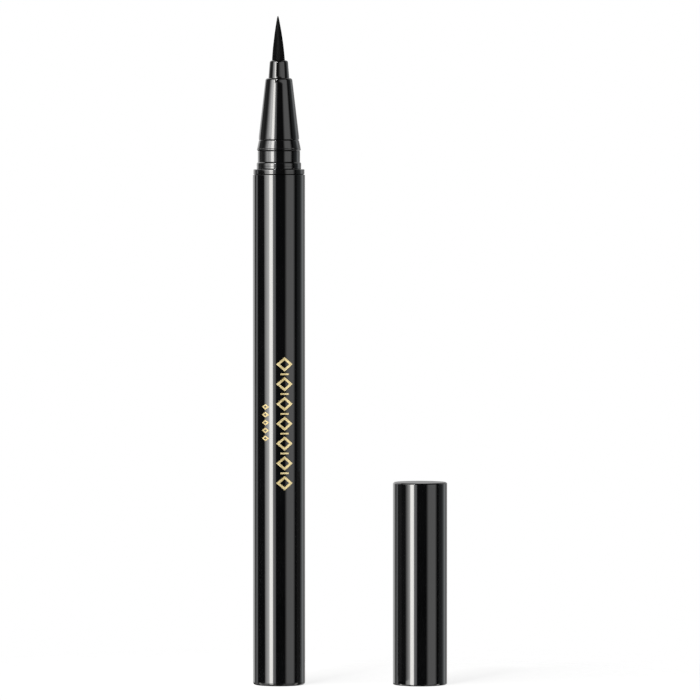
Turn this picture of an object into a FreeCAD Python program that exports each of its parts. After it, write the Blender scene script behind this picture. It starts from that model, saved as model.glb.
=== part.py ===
import FreeCAD, Part
import math
import os

# Liquid eyeliner pen. The pen stands on its tail with the brush up, and its pull-off cap
# stands on its mouth beside it. Millimetres, +Z up, origin at the centre of the pen's foot.

# Fits and gaps, measured on the radius or along the axis
press_gap = 0.03
slide_gap = 0.05
seal_gap = 0.01
rest_gap = 0.1
cut_overrun = 1.0

# Barrel sleeve
barrel_diameter = 10.0
barrel_length = 97.15
barrel_wall = 0.45
barrel_edge_round = 0.15

# Tail cap: a rounded end disc on a hollow plug
tail_flange_height = 0.5
tail_edge_round = 0.35
tail_plug_depth = 5.0
tail_plug_wall = 0.9
tail_plug_floor = 0.8

# Ink tank, its plug and the two mixing balls
tank_gap = 0.1
tank_wall = 0.75
tank_mouth_wall = 0.5
tank_mouth_depth = 6.0
plug_flange_height = 0.8
plug_depth = 4.0
plug_wall = 0.9
plug_crown = 1.0
ball_diameter = 3.0
ball_lane_gap = 0.5

# Front coupling: the collar that shows above the barrel, its plug, and the sleeve round the collector
collar_inset = 0.1
collar_height = 1.05
collar_edge_round = 0.08
coupling_plug_depth = 7.65
sleeve_wall = 0.6
seal_groove_depth = 0.45
seal_groove_width = 0.7
seal_groove_offset = 2.0

# Collector: a finned comb with an ink slit and an air channel
collector_length = 22.5
collector_stem_wall = 0.5
collector_end_height = 1.4
collector_inlet_length = 2.0
fin_thickness = 0.35
fin_gap = 0.35
ink_slit_width = 0.25
air_channel_width = 1.2
boss_wall = 0.5
boss_height = 1.5

# Feed core and the tube that carries it through the nose
core_diameter = 1.5
core_below_inlet = 1.0
relay_tube_wall = 0.3

# Nose cone, from its foot on the collar upwards
ring_diameter = 8.52
ring_height = 1.1
ring_edge_round = 0.15
neck_diameter = 8.1
neck_height = 2.25
ridge_diameter = 8.42
ridge_step_height = 0.3
ridge_flare_height = 1.95
ridge_edge_round = 0.06
land_diameter = 7.72
land_height = 0.75
cone_height = 11.3
cone_top_diameter = 5.15
cone_shoulder_round = 0.45
nose_spigot_depth = 5.2
nose_spigot_wall = 0.85
nose_cavity_diameter = 5.0
nose_lip_depth = 6.3

# Tip ferrule and the ring that keeps the brush in it
ferrule_root_diameter = 4.0
ferrule_top_diameter = 3.46
ferrule_height = 3.25
ferrule_edge_round = 0.32
ferrule_flange_height = 1.0
retainer_height = 1.8
retainer_socket_depth = 0.8

# Brush: a bundle of bristles fused at its root
brush_diameter = 2.55
brush_length = 8.5
brush_bulge = 0.135
brush_point_radius = 0.16
brush_root_diameter = 3.2
brush_root_height = 1.2
brush_core_depth = 4.5

# Cap: outer shell and the liner that snaps onto the nose
cap_distance = 27.0
cap_length = 38.8
cap_wall = 0.4
cap_top_thickness = 0.5
cap_top_round = 0.25
cap_mouth_round = 0.3
cap_guide_gap = 0.1
liner_wall = 0.41
liner_recess = 0.15
liner_mouth_clearance = 0.45
liner_top_gap = 2.3
bead_height = 1.0
bead_land_height = 0.4
bead_gap = 0.09

# Inner cap that slides in the liner, with its seal and spring
inner_cap_travel = 2.0
inner_cap_diameter = 8.3
inner_cap_wall = 0.6
inner_cap_crown = 0.8
inner_cap_stop_width = 0.25
inner_cap_stop_height = 1.0
inner_cap_mouth_gap = 0.4
brush_clearance = 1.0
inner_seal_seat_wall = 0.3
inner_seal_height = 1.2
spring_boss_height = 1.2
spring_boss_gap = 0.2
spring_wire_diameter = 0.4
spring_mean_diameter = 6.4
spring_turns = 6

# A rounded edge takes at most this share of the wall that it is on
round_wall_share = 0.9

# Radii of the barrel stack, from the outside in
barrel_radius = barrel_diameter / 2
barrel_bore = barrel_radius - barrel_wall
tank_radius = barrel_bore - tank_gap
tank_bore = tank_radius - tank_wall
tank_mouth_bore = tank_radius - tank_mouth_wall
collar_radius = barrel_radius - collar_inset
sleeve_radius = tank_bore - slide_gap
sleeve_bore = sleeve_radius - sleeve_wall
seal_land_radius = tank_mouth_bore - press_gap
seal_groove_radius = seal_land_radius - seal_groove_depth

# Radii of the nose and the feed
ring_radius = ring_diameter / 2
neck_radius = neck_diameter / 2
ridge_radius = ridge_diameter / 2
land_radius = land_diameter / 2
cone_top_radius = cone_top_diameter / 2
nose_cavity = nose_cavity_diameter / 2
nose_spigot_radius = nose_cavity + nose_spigot_wall
ferrule_root_radius = ferrule_root_diameter / 2
ferrule_top_radius = ferrule_top_diameter / 2
nose_hole = ferrule_root_radius + press_gap
brush_radius = brush_diameter / 2
brush_root_radius = brush_root_diameter / 2
ferrule_bore = brush_radius + press_gap
core_radius = core_diameter / 2
core_bore = core_radius + slide_gap
relay_tube_radius = core_bore + relay_tube_wall
relay_socket = relay_tube_radius + press_gap
stem_radius = core_bore + collector_stem_wall

# Heights of the pen, from the foot upwards
tail_plug_top = tail_flange_height + tail_plug_depth
tank_foot = tail_plug_top + plug_flange_height
plug_top = tank_foot + plug_depth
barrel_top = tail_flange_height + barrel_length
coupling_shoulder = barrel_top - coupling_plug_depth
collar_top = barrel_top + collar_height
collector_top = collar_top - nose_spigot_depth
collector_foot = collector_top - collector_length
inlet_foot = collector_foot - collector_inlet_length
core_foot = inlet_foot - core_below_inlet
ring_top = collar_top + ring_height
neck_top = ring_top + neck_height
ridge_edge = neck_top + ridge_step_height
ridge_top = ridge_edge + ridge_flare_height
land_top = ridge_top + land_height
nose_top = land_top + cone_height
nose_ledge = nose_top - nose_lip_depth
ferrule_foot = nose_ledge - ferrule_flange_height
ferrule_top = nose_top + ferrule_height
retainer_foot = ferrule_foot - retainer_height
brush_core_top = ferrule_foot + brush_core_depth
brush_top = ferrule_top + brush_length

# Radii and heights of the cap, from its mouth upwards
liner_mouth_bore = ring_radius + cap_guide_gap
liner_radius = liner_mouth_bore + liner_wall
cap_bore = liner_radius + press_gap
cap_radius = cap_bore + cap_wall
cap_ceiling = cap_length - cap_top_thickness
bead_bore = neck_radius + bead_gap
bead_top = neck_top - collar_top - slide_gap
liner_mouth_top = land_top - collar_top + liner_mouth_clearance
liner_top = cap_ceiling - liner_top_gap
inner_cap_radius = inner_cap_diameter / 2
inner_cap_bore = inner_cap_radius - inner_cap_wall
inner_cap_stop_radius = inner_cap_radius + inner_cap_stop_width
liner_guide = inner_cap_radius + slide_gap
liner_stop_bore = inner_cap_stop_radius + slide_gap
inner_cap_foot = liner_mouth_top + inner_cap_mouth_gap
inner_cap_ceiling = brush_top - collar_top + brush_clearance - inner_cap_travel
inner_cap_top = inner_cap_ceiling + inner_cap_crown
inner_cap_stop = inner_cap_top - inner_cap_stop_height
inner_seal_seat = inner_cap_radius - inner_seal_seat_wall
inner_seal_top = inner_cap_foot + inner_seal_height
spring_wire_radius = spring_wire_diameter / 2
spring_radius = spring_mean_diameter / 2
spring_boss_radius = spring_radius - spring_wire_radius - spring_boss_gap


def place(radius, height):
    return FreeCAD.Vector(radius, 0, height)


def limited_round(wanted, wall):
    return min(wanted, wall * round_wall_share)


def outline(corners):
    # Edges through (radius, height) corners; a third number in a corner rounds it with a tangent arc
    points = [place(corner[0], corner[1]) for corner in corners]
    entries, exits, arcs = [], [], []
    for index, corner in enumerate(corners):
        here = points[index]
        entry, leave, arc = here, here, None
        if len(corner) > 2:
            back = (points[index - 1] - here).normalize()
            ahead = (points[(index + 1) % len(points)] - here).normalize()
            half_angle = back.getAngle(ahead) / 2
            tangent = corner[2] / math.tan(half_angle)
            depth = corner[2] / math.sin(half_angle) - corner[2]
            entry = here + back * tangent
            leave = here + ahead * tangent
            arc = Part.Arc(entry, here + (back + ahead).normalize() * depth, leave).toShape()
        entries.append(entry)
        exits.append(leave)
        arcs.append(arc)
    edges = []
    for index, arc in enumerate(arcs):
        if arc:
            edges.append(arc)
        edges.append(Part.LineSegment(exits[index], entries[(index + 1) % len(points)]).toShape())
    return edges


def revolved(edges):
    face = Part.Face(Part.Wire(edges))
    return face.revolve(FreeCAD.Vector(0, 0, 0), FreeCAD.Vector(0, 0, 1), 360)


def turned(corners):
    return revolved(outline(corners))


def make_barrel_shell():
    edge_round = limited_round(barrel_edge_round, barrel_wall)
    return turned([
        (barrel_bore, tail_flange_height),
        (barrel_radius, tail_flange_height),
        (barrel_radius, barrel_top, edge_round),
        (barrel_bore, barrel_top),
    ])


def make_tail_cap():
    plug_radius = barrel_bore - press_gap
    hollow_radius = plug_radius - tail_plug_wall
    hollow_floor = tail_flange_height + tail_plug_floor
    return turned([
        (0, 0),
        (barrel_radius, 0, limited_round(tail_edge_round, tail_flange_height)),
        (barrel_radius, tail_flange_height),
        (plug_radius, tail_flange_height),
        (plug_radius, tail_plug_top),
        (hollow_radius, tail_plug_top),
        (hollow_radius, hollow_floor),
        (0, hollow_floor),
    ])


def make_tank_plug():
    plug_radius = tank_bore - press_gap
    hollow_radius = plug_radius - plug_wall
    hollow_top = plug_top - plug_crown
    return turned([
        (hollow_radius, tail_plug_top),
        (tank_radius, tail_plug_top),
        (tank_radius, tank_foot),
        (plug_radius, tank_foot),
        (plug_radius, plug_top),
        (0, plug_top),
        (0, hollow_top),
        (hollow_radius, hollow_top),
    ])


def make_ink_tank():
    mouth_floor = coupling_shoulder - tank_mouth_depth
    return turned([
        (tank_bore, tank_foot),
        (tank_radius, tank_foot),
        (tank_radius, coupling_shoulder),
        (tank_mouth_bore, coupling_shoulder),
        (tank_mouth_bore, mouth_floor),
        (tank_bore, mouth_floor),
    ])


def make_mixing_ball(side):
    radius = ball_diameter / 2
    lane = side * (radius + ball_lane_gap / 2)
    ball = Part.makeSphere(radius)
    ball.translate(FreeCAD.Vector(lane, 0, plug_top + rest_gap + radius))
    return ball


def make_front_coupling():
    plug_radius = barrel_bore - press_gap
    socket_radius = nose_spigot_radius + press_gap
    land_foot = coupling_shoulder - tank_mouth_depth
    groove_top = coupling_shoulder - seal_groove_offset
    groove_foot = groove_top - seal_groove_width
    return turned([
        (sleeve_bore, collector_foot),
        (sleeve_radius, collector_foot),
        (sleeve_radius, land_foot),
        (seal_land_radius, land_foot),
        (seal_land_radius, groove_foot),
        (seal_groove_radius, groove_foot),
        (seal_groove_radius, groove_top),
        (seal_land_radius, groove_top),
        (seal_land_radius, coupling_shoulder),
        (plug_radius, coupling_shoulder),
        (plug_radius, barrel_top),
        (collar_radius, barrel_top),
        (collar_radius, collar_top, limited_round(collar_edge_round, collar_height)),
        (socket_radius, collar_top),
        (socket_radius, collector_top),
        (sleeve_bore, collector_top),
    ])


def make_tank_seal():
    section_radius = (tank_mouth_bore - seal_groove_radius) / 2 - seal_gap
    ring_centre = (tank_mouth_bore + seal_groove_radius) / 2
    height = coupling_shoulder - seal_groove_offset - seal_groove_width / 2
    seal = Part.makeTorus(ring_centre, section_radius)
    seal.translate(FreeCAD.Vector(0, 0, height))
    return seal


def make_collector():
    fin_radius = sleeve_bore - press_gap
    boss_radius = relay_socket + boss_wall
    fins_foot = collector_foot + collector_end_height
    fins_top = collector_top - collector_end_height
    fin_pitch = fin_thickness + fin_gap
    fin_count = int((fins_top - fins_foot - fin_gap) / fin_pitch)
    corners = [
        (core_bore, inlet_foot),
        (stem_radius, inlet_foot),
        (stem_radius, collector_foot),
        (fin_radius, collector_foot),
        (fin_radius, fins_foot),
        (stem_radius, fins_foot),
    ]
    for index in range(fin_count):
        fin_foot = fins_foot + fin_gap + index * fin_pitch
        fin_top = fin_foot + fin_thickness
        corners += [(stem_radius, fin_foot), (fin_radius, fin_foot)]
        corners += [(fin_radius, fin_top), (stem_radius, fin_top)]
    corners += [
        (stem_radius, fins_top),
        (fin_radius, fins_top),
        (fin_radius, collector_top),
        (boss_radius, collector_top),
        (boss_radius, collector_top + boss_height),
        (relay_socket, collector_top + boss_height),
        (relay_socket, collector_top),
        (core_bore, collector_top),
    ]
    body = turned(corners)
    slit = Part.makeBox(
        fin_radius + cut_overrun, ink_slit_width, fins_top - collector_foot + cut_overrun,
        FreeCAD.Vector(0, -ink_slit_width / 2, collector_foot - cut_overrun))
    channel = Part.makeBox(
        fin_radius - stem_radius + cut_overrun, air_channel_width, collector_top - fins_foot + cut_overrun,
        FreeCAD.Vector(-fin_radius - cut_overrun, -air_channel_width / 2, fins_foot))
    return body.cut(slit).cut(channel)


def make_feed_core():
    core = Part.makeCylinder(core_radius, brush_core_top - rest_gap - core_foot)
    core.translate(FreeCAD.Vector(0, 0, core_foot))
    return core


def make_relay_tube():
    tube_top = retainer_foot + retainer_socket_depth
    return turned([
        (core_bore, collector_top),
        (relay_tube_radius, collector_top),
        (relay_tube_radius, tube_top),
        (core_bore, tube_top),
    ])


def make_nose_cone():
    return turned([
        (nose_cavity, collector_top),
        (nose_spigot_radius, collector_top),
        (nose_spigot_radius, collar_top),
        (ring_radius, collar_top),
        (ring_radius, ring_top, limited_round(ring_edge_round, ring_radius - neck_radius)),
        (neck_radius, ring_top),
        (neck_radius, neck_top),
        (ridge_radius, ridge_edge, limited_round(ridge_edge_round, ridge_radius - neck_radius)),
        (land_radius, ridge_top),
        (land_radius, land_top),
        (cone_top_radius, nose_top, limited_round(cone_shoulder_round, cone_top_radius - nose_hole)),
        (nose_hole, nose_top),
        (nose_hole, nose_ledge),
        (nose_cavity, nose_ledge),
    ])


def make_brush_retainer():
    radius = nose_cavity - press_gap
    socket_top = retainer_foot + retainer_socket_depth
    return turned([
        (relay_socket, retainer_foot),
        (radius, retainer_foot),
        (radius, ferrule_foot),
        (core_bore, ferrule_foot),
        (core_bore, socket_top),
        (relay_socket, socket_top),
    ])


def make_tip_ferrule():
    root_socket = brush_root_radius + press_gap
    root_socket_top = ferrule_foot + brush_root_height
    edge_round = limited_round(ferrule_edge_round, ferrule_top_radius - ferrule_bore)
    return turned([
        (root_socket, ferrule_foot),
        (nose_cavity - press_gap, ferrule_foot),
        (nose_cavity - press_gap, nose_ledge),
        (ferrule_root_radius, nose_ledge),
        (ferrule_root_radius, nose_top),
        (ferrule_top_radius, ferrule_top, edge_round),
        (ferrule_bore, ferrule_top),
        (ferrule_bore, root_socket_top),
        (root_socket, root_socket_top),
    ])


def make_brush_tip():
    # The bundle's side bows out a little between the ferrule and the rounded point
    point_foot = brush_top - brush_point_radius
    root_top = ferrule_foot + brush_root_height
    base = place(brush_radius, ferrule_top)
    shoulder = place(brush_point_radius, point_foot)
    middle = (base + shoulder) * 0.5 + FreeCAD.Vector(brush_bulge, 0, 0)
    on_point = math.sqrt(0.5) * brush_point_radius
    stops = [
        place(0, brush_top), place(0, brush_core_top), place(core_bore, brush_core_top),
        place(core_bore, ferrule_foot), place(brush_root_radius, ferrule_foot),
        place(brush_root_radius, root_top), place(brush_radius, root_top), base,
    ]
    edges = [Part.LineSegment(start, end).toShape() for start, end in zip(stops, stops[1:])]
    edges.append(Part.Arc(base, middle, shoulder).toShape())
    edges.append(Part.Arc(shoulder, place(on_point, point_foot + on_point), stops[0]).toShape())
    return revolved(edges)


def make_cap_shell():
    return turned([
        (cap_bore, 0),
        (cap_radius, 0, limited_round(cap_mouth_round, cap_wall)),
        (cap_radius, cap_length, cap_top_round),
        (0, cap_length),
        (0, cap_ceiling),
        (cap_bore, cap_ceiling),
    ])


def make_cap_liner():
    bead_slope = (bead_height - bead_land_height) / 2
    bead_foot = bead_top - bead_height
    return turned([
        (liner_mouth_bore, liner_recess),
        (liner_radius, liner_recess),
        (liner_radius, liner_top),
        (liner_stop_bore, liner_top),
        (liner_stop_bore, inner_cap_stop),
        (liner_guide, inner_cap_stop),
        (liner_guide, liner_mouth_top),
        (liner_mouth_bore, liner_mouth_top),
        (liner_mouth_bore, bead_top),
        (bead_bore, bead_top - bead_slope),
        (bead_bore, bead_foot + bead_slope),
        (liner_mouth_bore, bead_foot),
    ])


def make_inner_cap():
    return turned([
        (inner_seal_seat, inner_cap_foot),
        (inner_cap_radius, inner_cap_foot),
        (inner_cap_radius, inner_cap_stop),
        (inner_cap_stop_radius, inner_cap_stop),
        (inner_cap_stop_radius, inner_cap_top),
        (spring_boss_radius, inner_cap_top),
        (spring_boss_radius, inner_cap_top + spring_boss_height),
        (0, inner_cap_top + spring_boss_height),
        (0, inner_cap_ceiling),
        (inner_cap_bore, inner_cap_ceiling),
        (inner_cap_bore, inner_seal_top),
        (inner_seal_seat, inner_seal_top),
    ])


def cone_radius(height):
    # Radius of the nose's cone at a height above the collar
    share = (height + collar_top - land_top) / cone_height
    return land_radius + (cone_top_radius - land_radius) * share


def make_inner_cap_seal():
    # Its inner face follows the nose's cone at the place where it meets it with the cap on
    outer = inner_seal_seat - seal_gap
    top = inner_seal_top - seal_gap
    return turned([
        (cone_radius(inner_cap_foot + inner_cap_travel) + seal_gap, inner_cap_foot),
        (outer, inner_cap_foot),
        (outer, top),
        (cone_radius(top + inner_cap_travel) + seal_gap, top),
    ])


def helix_point(radius, pitch, turn):
    angle = 2 * math.pi * turn
    return FreeCAD.Vector(radius * math.cos(angle), radius * math.sin(angle), pitch * turn)


def helix_tangent(radius, pitch, turn):
    angle = 2 * math.pi * turn
    rise = pitch / (2 * math.pi)
    return FreeCAD.Vector(-radius * math.sin(angle), radius * math.cos(angle), rise).normalize()


def tangent_arc(start, corner, end):
    # Arc from start to end whose end tangents meet at corner, which is as far from one as from the other
    middle = (start + end) * 0.5
    half_chord = (end - start).Length / 2
    height = (corner - middle).Length
    radius = half_chord * (corner - start).Length / height
    sagitta = radius - math.sqrt(radius * radius - half_chord * half_chord)
    return Part.Arc(start, middle + (corner - middle) * (sagitta / height), end).toShape()


def helix_path(radius, pitch, turns):
    # Each quarter turn is two arcs that share a tangent
    turn_share = 0.25
    edges = []
    for index in range(int(turns / turn_share)):
        start_turn = index * turn_share
        end_turn = start_turn + turn_share
        start = helix_point(radius, pitch, start_turn)
        end = helix_point(radius, pitch, end_turn)
        leave = helix_tangent(radius, pitch, start_turn)
        arrive = helix_tangent(radius, pitch, end_turn)
        chord = end - start
        square = 2 * (leave.dot(arrive) - 1)
        linear = -2 * chord.dot(leave + arrive)
        constant = chord.dot(chord)
        reach = (-linear - math.sqrt(linear * linear - 4 * square * constant)) / (2 * square)
        first_corner = start + leave * reach
        last_corner = end - arrive * reach
        joint = (first_corner + last_corner) * 0.5
        edges.append(tangent_arc(start, first_corner, joint))
        edges.append(tangent_arc(joint, last_corner, end))
    return Part.Wire(edges)


def least_self_gap(path, turns, wire_diameter):
    # Least room between stretches of the wire that are half a turn or more apart
    points_per_turn = 24
    points = path.discretize(Number=int(turns * points_per_turn) + 1)
    apart = points_per_turn // 2
    least = path.Length
    for index, here in enumerate(points):
        for other in points[index + apart:]:
            least = min(least, here.distanceToPoint(other))
    return least - wire_diameter


def make_cap_spring():
    foot = inner_cap_top + rest_gap + spring_wire_radius
    top = cap_ceiling - rest_gap - spring_wire_radius
    pitch = (top - foot) / spring_turns
    path = helix_path(spring_radius, pitch, spring_turns)
    start = helix_point(spring_radius, pitch, 0)
    section = Part.Circle(start, helix_tangent(spring_radius, pitch, 0), spring_wire_radius).toShape()
    sweep = Part.BRepOffsetAPI.MakePipeShell(path)
    sweep.add(Part.Wire([section]))
    sweep.build()
    sweep.makeSolid()
    spring = sweep.shape()
    spring.translate(FreeCAD.Vector(0, 0, foot))
    wire_volume = math.pi * spring_wire_radius ** 2 * path.Length
    self_gap = least_self_gap(path, spring_turns, spring_wire_diameter)
    print(f"cap_spring: least gap to itself {self_gap:.3f}, "
          f"volume {spring.Volume:.3f} against {wire_volume:.3f}")
    return spring


pen_pieces = {
    "barrel_shell": make_barrel_shell(),
    "tail_cap": make_tail_cap(),
    "tank_plug": make_tank_plug(),
    "ink_tank": make_ink_tank(),
    "mixing_ball_left": make_mixing_ball(-1),
    "mixing_ball_right": make_mixing_ball(1),
    "front_coupling": make_front_coupling(),
    "tank_seal": make_tank_seal(),
    "collector": make_collector(),
    "feed_core": make_feed_core(),
    "relay_tube": make_relay_tube(),
    "nose_cone": make_nose_cone(),
    "brush_retainer": make_brush_retainer(),
    "tip_ferrule": make_tip_ferrule(),
    "brush_tip": make_brush_tip(),
}
cap_pieces = {
    "cap_shell": make_cap_shell(),
    "cap_liner": make_cap_liner(),
    "inner_cap": make_inner_cap(),
    "inner_cap_seal": make_inner_cap_seal(),
    "cap_spring": make_cap_spring(),
}
for piece in cap_pieces.values():
    piece.translate(FreeCAD.Vector(cap_distance, 0, 0))

os.makedirs("parts", exist_ok=True)
for name, piece in {**pen_pieces, **cap_pieces}.items():
    piece.exportStep(os.path.join("parts", name + ".step"))
    print(f"{name}: volume {piece.Volume:.2f}, valid {piece.isValid()}, solids {len(piece.Solids)}")
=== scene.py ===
import bmesh
import bpy
import math
from mathutils import Matrix, Vector


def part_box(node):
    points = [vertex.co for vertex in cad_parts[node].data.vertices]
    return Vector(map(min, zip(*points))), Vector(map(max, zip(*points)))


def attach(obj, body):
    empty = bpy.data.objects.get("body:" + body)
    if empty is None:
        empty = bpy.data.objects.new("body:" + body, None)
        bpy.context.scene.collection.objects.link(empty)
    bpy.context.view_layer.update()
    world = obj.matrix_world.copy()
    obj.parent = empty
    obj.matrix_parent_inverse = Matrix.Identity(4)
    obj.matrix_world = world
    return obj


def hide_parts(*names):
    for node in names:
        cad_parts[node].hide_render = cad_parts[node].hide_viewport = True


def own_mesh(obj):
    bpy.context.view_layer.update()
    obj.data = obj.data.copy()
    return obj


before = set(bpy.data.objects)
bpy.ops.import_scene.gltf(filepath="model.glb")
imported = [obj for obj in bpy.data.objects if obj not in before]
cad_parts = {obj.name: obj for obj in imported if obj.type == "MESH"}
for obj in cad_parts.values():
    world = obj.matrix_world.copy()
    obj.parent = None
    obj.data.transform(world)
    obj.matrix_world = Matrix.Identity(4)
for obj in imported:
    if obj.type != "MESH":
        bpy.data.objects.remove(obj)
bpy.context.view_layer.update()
mm = 0.001  # pieces are drawn in millimetres and brought to metres at the end
print("frame loaded,", len(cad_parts), "nodes")


# Where a CAD node starts, ends and stands, in millimetres
def span(node):
    low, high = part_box(node)
    return dict(foot=low.z / mm, top=high.z / mm, axisX=(low.x + high.x) / 2 / mm)


# Shared modelling steps

turning = dict(
    steps=144,  # faces round a full turn
    roundSegments=6,  # faces over a rounded corner
    roundProfile=0.5,  # a circle's
    hold=0.02,  # narrow flat beside a round, which keeps the wall's reflections straight
    mergeDistance=0.0005,
    sharpAngle=math.radians(32),
)


def addObject(name, bm, axisX=0.0):
    bmesh.ops.translate(bm, verts=bm.verts, vec=(axisX, 0, 0))
    bmesh.ops.scale(bm, verts=bm.verts, vec=(mm, mm, mm))
    for face in bm.faces:
        face.smooth = True
    for edge in bm.edges:
        if len(edge.link_faces) == 2 and edge.calc_face_angle() > turning["sharpAngle"]:
            edge.smooth = False
    mesh = bpy.data.meshes.new(name)
    bm.to_mesh(mesh)
    bm.free()
    piece = bpy.data.objects.new(name, mesh)
    bpy.context.scene.collection.objects.link(piece)
    return piece


# Corners are (radius, height) or (radius, height, round), in order round the section
def roundOf(corner):
    return corner[2] if len(corner) > 2 else 0.0


def holdBeside(corner, neighbour):  # an extra corner beside a round, where there is room for it
    away = Vector(neighbour[:2]) - Vector(corner[:2])
    reach = roundOf(corner) + turning["hold"]
    crowded = reach + turning["hold"] + roundOf(neighbour) > away.length
    if crowded or not roundOf(corner):
        return []
    return [tuple(Vector(corner[:2]) + away.normalized() * reach)]


def heldSection(corners):
    held = []
    for index, corner in enumerate(corners):
        following = corners[(index + 1) % len(corners)]
        held += holdBeside(corner, corners[index - 1])
        held.append(corner)
        held += holdBeside(corner, following)
    return held


def turnSection(bm, corners):
    corners = heldSection(corners)
    verts = [bm.verts.new((corner[0], 0, corner[1])) for corner in corners]
    pairs = list(zip(verts, verts[1:]))
    if corners[0][0] > 0 or corners[-1][0] > 0:  # a section off the axis is a closed loop
        pairs.append((verts[-1], verts[0]))
    for pair in pairs:
        bm.edges.new(pair)
    for vert, corner in zip(verts, corners):
        if roundOf(corner):
            bmesh.ops.bevel(bm, geom=[vert], offset=roundOf(corner), offset_type="OFFSET",
                            affect="VERTICES", segments=turning["roundSegments"],
                            profile=turning["roundProfile"], material=-1)
    bmesh.ops.spin(bm, geom=bm.verts[:] + bm.edges[:], cent=(0, 0, 0), axis=(0, 0, 1),
                   angle=2 * math.pi, steps=turning["steps"], use_merge=True)
    bmesh.ops.remove_doubles(bm, verts=bm.verts, dist=turning["mergeDistance"])
    bmesh.ops.recalc_face_normals(bm, faces=bm.faces)


def turnedPiece(name, corners, axisX=0.0):
    bm = bmesh.new()
    turnSection(bm, corners)
    return addObject(name, bm, axisX)


def finishPiece(piece, material, body, slot, *nodes):
    piece.data.materials.append(material)
    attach(piece, body)
    if nodes:
        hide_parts(*nodes)


# Shader nodes that the materials, the studio and the cards share

def feed(tree, socket, value):
    if isinstance(value, (int, float)):
        socket.default_value = value
    else:
        tree.links.new(value, socket)


def mathNode(tree, operation, first, second=0.0):
    node = tree.nodes.new("ShaderNodeMath")
    node.operation = operation
    feed(tree, node.inputs[0], first)
    feed(tree, node.inputs[1], second)
    return node.outputs[0]


def rampNode(tree, value, fromLow, fromHigh, toLow, toHigh, shape="SMOOTHSTEP"):
    node = tree.nodes.new("ShaderNodeMapRange")
    node.interpolation_type = shape
    ends = {"From Min": fromLow, "From Max": fromHigh, "To Min": toLow, "To Max": toHigh}
    for name, number in ends.items():
        node.inputs[name].default_value = number
    feed(tree, node.inputs["Value"], value)
    return node.outputs["Result"]


def mixNode(tree, share, first, second):
    node = tree.nodes.new("ShaderNodeMixShader")
    feed(tree, node.inputs["Fac"], share)
    tree.links.new(first, node.inputs[1])
    tree.links.new(second, node.inputs[2])
    return node.outputs["Shader"]


def glossyShare(tree, path):
    glossy = path.outputs["Is Glossy Ray"]
    return mathNode(tree, "MAXIMUM", glossy, path.outputs["Is Transmission Ray"])


# Materials: two tones and a range of roughness over a cloudy field, with relief from a fine grain,
# or from the cloud itself where no grain is given

shading = dict(
    noiseRange=(0.3, 0.7),  # most of the field lies here
    toneStops=(0.32, 0.68),
    noiseRoughness=0.55,
    cloudDetail=4.0,
    grainDetail=2.0,
)
clearCoat = {"IOR": 1.5, "Coat Weight": 1.0, "Coat IOR": 1.5}
finishes = dict(
    blackLacquer=dict(
        dark=(0.0017, 0.0018, 0.0020), light=(0.0027, 0.0028, 0.0031), rough=(0.05, 0.085),
        cloud=90, grain=2600, relief=0.05, depth=0.000001,
        inputs={**clearCoat, "Coat Roughness": 0.03}),
    blackGlossPlastic=dict(
        dark=(0.0016, 0.0016, 0.0017), light=(0.0026, 0.0026, 0.0028), rough=(0.08, 0.12),
        cloud=160, grain=4200, relief=0.05, depth=0.000001,
        inputs={**clearCoat, "Coat Roughness": 0.045}),
    satinBlackPlastic=dict(
        dark=(0.012, 0.012, 0.012), light=(0.020, 0.020, 0.021), rough=(0.34, 0.46),
        cloud=220, grain=6000, relief=0.3, depth=0.00001),
    blackBristle=dict(
        dark=(0.0008, 0.0008, 0.0009), light=(0.0035, 0.0035, 0.0038), rough=(0.42, 0.6),
        stretch=(5200, 5200, 260), cloud=1.0, detail=3.0, relief=0.4, depth=0.00002,  # long streaks
        inputs={"Specular IOR Level": 0.06}),
    brightGoldFoil=dict(
        dark=(0.84, 0.67, 0.31), light=(0.98, 0.83, 0.47), rough=(0.18, 0.26),
        cloud=900, grain=9000, relief=0.25, depth=0.000004, inputs={"Metallic": 0.48}),
    # painted shade: the same gold foil as above, with darker tones, for the small row on the barrel's left
    # side
    shadedGoldFoil=dict(
        dark=(0.40, 0.31, 0.14), light=(0.54, 0.43, 0.21), rough=(0.40, 0.52),
        cloud=900, grain=9000, relief=0.25, depth=0.000004, inputs={"Metallic": 0.5}),
    milkyPlastic=dict(
        dark=(0.70, 0.70, 0.66), light=(0.82, 0.82, 0.78), rough=(0.28, 0.4),
        cloud=300, relief=0.3, depth=0.000006),
    softRubber=dict(
        dark=(0.03, 0.03, 0.03), light=(0.06, 0.06, 0.06), rough=(0.55, 0.7),
        cloud=900, relief=0.3, depth=0.00001),
    brightSteel=dict(
        dark=(0.52, 0.52, 0.53), light=(0.66, 0.66, 0.67), rough=(0.12, 0.24),
        cloud=1500, relief=0.3, depth=0.000002, inputs={"Metallic": 1.0}),
    inkFibre=dict(
        dark=(0.006, 0.006, 0.008), light=(0.02, 0.02, 0.025), rough=(0.7, 0.9),
        cloud=2500, relief=0.3, depth=0.00003),
)


def startMaterial(name):
    material = bpy.data.materials.new(name)
    material.use_nodes = True
    tree = material.node_tree
    return material, tree, tree.nodes["Principled BSDF"]


def objectCoords(tree, stretch):
    coords = tree.nodes.new("ShaderNodeTexCoord")
    mapping = tree.nodes.new("ShaderNodeMapping")
    mapping.inputs["Scale"].default_value = stretch
    tree.links.new(coords.outputs["Object"], mapping.inputs["Vector"])
    return mapping.outputs["Vector"]


def noiseField(tree, vector, scale, detail):
    noise = tree.nodes.new("ShaderNodeTexNoise")
    noise.inputs["Scale"].default_value = scale
    noise.inputs["Detail"].default_value = detail
    noise.inputs["Roughness"].default_value = shading["noiseRoughness"]
    tree.links.new(vector, noise.inputs["Vector"])
    return noise.outputs["Fac"]


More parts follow.
